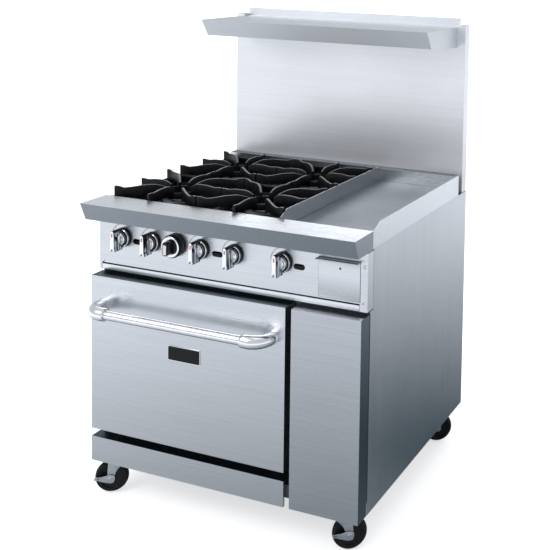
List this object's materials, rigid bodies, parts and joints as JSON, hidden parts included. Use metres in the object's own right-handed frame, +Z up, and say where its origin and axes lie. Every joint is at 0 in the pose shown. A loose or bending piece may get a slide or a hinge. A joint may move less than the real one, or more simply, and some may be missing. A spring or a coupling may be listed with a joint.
{
  "type": "commercial gas range",
  "caption": "Stainless restaurant range: open gas burners under cast-iron grates, a griddle, an oven with a drop door, and a riser with a high shelf, on locking casters.",
  "frame": {"origin": "on the floor, under the middle of the bounding box", "axes": "+Z up, the front faces -Y, +X is the right-hand side as seen from the front, the griddle side"},
  "size_m": [0.9144, 0.8396, 1.461],
  "materials": {
    "brushed_steel": "satin brushed stainless sheet",
    "dark_steel": "heat-darkened steel",
    "chrome": "polished",
    "cast_iron": "matt black casting",
    "burner_iron": "bare grey casting",
    "griddle_steel": "ground steel plate",
    "oven_enamel": "dark blue-black enamel",
    "zinc": "zinc plate",
    "brass": "machined",
    "black_plastic": "satin black",
    "black_rubber": "matt black tread"
  },
  "bodies": {
    "cabinet": {"base_frame": "zinc", "left_side_panel": "brushed_steel", "right_side_panel": "brushed_steel", "back_panel": "brushed_steel", "front_frame": "dark_steel", "right_cover": "brushed_steel", "kick_plate": "brushed_steel", "control_panel": "brushed_steel", "front_rail": "brushed_steel", "cooktop_frame": "oven_enamel", "left_top_trim": "brushed_steel", "rear_trim": "brushed_steel", "griddle_plate": "griddle_steel", "griddle_splash_guard": "brushed_steel", "grease_trough": "brushed_steel", "griddle_burner": "dark_steel", "burner_front_left": "burner_iron", "burner_front_right": "burner_iron", "burner_rear_left": "burner_iron", "burner_rear_right": "burner_iron", "gas_manifold": "brass", "oven_thermostat": "zinc", "pilot_tube": "chrome", "riser": "brushed_steel", "high_shelf": "brushed_steel", "oven_liner": "oven_enamel", "oven_deck": "oven_enamel", "oven_rack_upper": "chrome", "oven_rack_lower": "chrome", "oven_burner": "dark_steel", "door_hinge_left": "zinc", "door_hinge_right": "zinc"},
    "oven_door": {"door_shell": "brushed_steel", "door_liner": "oven_enamel", "door_handle_tube": "chrome", "door_handle_elbow_left": "chrome", "door_handle_elbow_right": "chrome", "badge_plate": "black_plastic"},
    "crumb_tray": {"crumb_tray": "brushed_steel"},
    "grease_drawer": {"grease_drawer": "brushed_steel"},
    "gas_knob_1": {"gas_knob_1": "chrome"},
    "gas_knob_2": {"gas_knob_2": "chrome"},
    "gas_knob_3": {"gas_knob_3": "chrome"},
    "gas_knob_4": {"gas_knob_4": "chrome"},
    "gas_knob_5": {"gas_knob_5": "chrome"},
    "thermostat_knob": {"thermostat_knob": "black_plastic"},
    "grate_front_left": {"grate_front_left": "cast_iron"},
    "grate_front_right": {"grate_front_right": "cast_iron"},
    "grate_rear_left": {"grate_rear_left": "cast_iron"},
    "grate_rear_right": {"grate_rear_right": "cast_iron"},
    "caster_front_left": {"caster_fork_front_left": "zinc"},
    "wheel_front_left": {"caster_wheel_front_left": "black_rubber"},
    "brake_left": {"brake_pedal_left": "zinc"},
    "caster_front_right": {"caster_fork_front_right": "zinc"},
    "wheel_front_right": {"caster_wheel_front_right": "black_rubber"},
    "brake_right": {"brake_pedal_right": "zinc"},
    "caster_rear_left": {"caster_fork_rear_left": "zinc"},
    "wheel_rear_left": {"caster_wheel_rear_left": "black_rubber"},
    "caster_rear_right": {"caster_fork_rear_right": "zinc"},
    "wheel_rear_right": {"caster_wheel_rear_right": "black_rubber"}
  },
  "joints": [
    {"name": "door_hinge", "type": "hinge", "parent": "cabinet", "child": "oven_door", "pos_m": [0, -0.33225, 0.217], "axis": [1, 0, 0], "range_deg": [0, 90]},
    {"name": "crumb_tray_slide", "type": "slide", "parent": "cabinet", "child": "crumb_tray", "axis": [0, -1, 0], "range_m": [0, 0.35]},
    {"name": "grease_drawer_slide", "type": "slide", "parent": "cabinet", "child": "grease_drawer", "axis": [0, -1, 0], "range_m": [0, 0.3]},
    {"name": "gas_knob_1_turn", "type": "hinge", "parent": "cabinet", "child": "gas_knob_1", "pos_m": [-0.368, -0.31225, 0.8], "axis": [0, -1, 0], "range_deg": [0, 90]},
    {"name": "gas_knob_2_turn", "type": "hinge", "parent": "cabinet", "child": "gas_knob_2", "pos_m": [-0.261, -0.31225, 0.8], "axis": [0, -1, 0], "range_deg": [0, 90]},
    {"name": "gas_knob_3_turn", "type": "hinge", "parent": "cabinet", "child": "gas_knob_3", "pos_m": [-0.0895, -0.31225, 0.8], "axis": [0, -1, 0], "range_deg": [0, 90]},
    {"name": "gas_knob_4_turn", "type": "hinge", "parent": "cabinet", "child": "gas_knob_4", "pos_m": [0.0265, -0.31225, 0.8], "axis": [0, -1, 0], "range_deg": [0, 90]},
    {"name": "gas_knob_5_turn", "type": "hinge", "parent": "cabinet", "child": "gas_knob_5", "pos_m": [0.189, -0.31225, 0.8], "axis": [0, -1, 0], "range_deg": [0, 90]},
    {"name": "thermostat_turn", "type": "hinge", "parent": "cabinet", "child": "thermostat_knob", "pos_m": [-0.18, -0.31225, 0.8], "axis": [0, -1, 0], "range_deg": [0, 270]},
    {"name": "grate_front_left_lift", "type": "slide", "parent": "cabinet", "child": "grate_front_left", "axis": [0, 0, 1], "range_m": [0, 0.12]},
    {"name": "grate_front_right_lift", "type": "slide", "parent": "cabinet", "child": "grate_front_right", "axis": [0, 0, 1], "range_m": [0, 0.12]},
    {"name": "grate_rear_left_lift", "type": "slide", "parent": "cabinet", "child": "grate_rear_left", "axis": [0, 0, 1], "range_m": [0, 0.12]},
    {"name": "grate_rear_right_lift", "type": "slide", "parent": "cabinet", "child": "grate_rear_right", "axis": [0, 0, 1], "range_m": [0, 0.12]},
    {"name": "caster_front_left_swivel", "type": "hinge", "parent": "cabinet", "child": "caster_front_left", "pos_m": [-0.388, -0.30725, 0.1165], "axis": [0, 0, 1], "continuous": true},
    {"name": "wheel_front_left_roll", "type": "hinge", "parent": "caster_front_left", "child": "wheel_front_left", "pos_m": [-0.40532, -0.31725, 0.049], "axis": [0.5, -0.866, 0], "continuous": true},
    {"name": "brake_left_tip", "type": "hinge", "parent": "caster_front_left", "child": "brake_left", "pos_m": [-0.40532, -0.31725, 0.049], "axis": [0.5, -0.866, 0], "range_deg": [0, 20]},
    {"name": "caster_front_right_swivel", "type": "hinge", "parent": "cabinet", "child": "caster_front_right", "pos_m": [0.388, -0.30725, 0.1165], "axis": [0, 0, 1], "continuous": true},
    {"name": "wheel_front_right_roll", "type": "hinge", "parent": "caster_front_right", "child": "wheel_front_right", "pos_m": [0.40532, -0.29725, 0.049], "axis": [0.5, -0.866, 0], "continuous": true},
    {"name": "brake_right_tip", "type": "hinge", "parent": "caster_front_right", "child": "brake_right", "pos_m": [0.40532, -0.29725, 0.049], "axis": [0.5, -0.866, 0], "range_deg": [0, 20]},
    {"name": "caster_rear_left_swivel", "type": "hinge", "parent": "cabinet", "child": "caster_rear_left", "pos_m": [-0.388, 0.32275, 0.1165], "axis": [0, 0, 1], "continuous": true},
    {"name": "wheel_rear_left_roll", "type": "hinge", "parent": "caster_rear_left", "child": "wheel_rear_left", "pos_m": [-0.40532, 0.31275, 0.049], "axis": [0.5, -0.866, 0], "continuous": true},
    {"name": "caster_rear_right_swivel", "type": "hinge", "parent": "cabinet", "child": "caster_rear_right", "pos_m": [0.388, 0.32275, 0.1165], "axis": [0, 0, 1], "continuous": true},
    {"name": "wheel_rear_right_roll", "type": "hinge", "parent": "caster_rear_right", "child": "wheel_rear_right", "pos_m": [0.40532, 0.33275, 0.049], "axis": [0.5, -0.866, 0], "continuous": true}
  ]
}
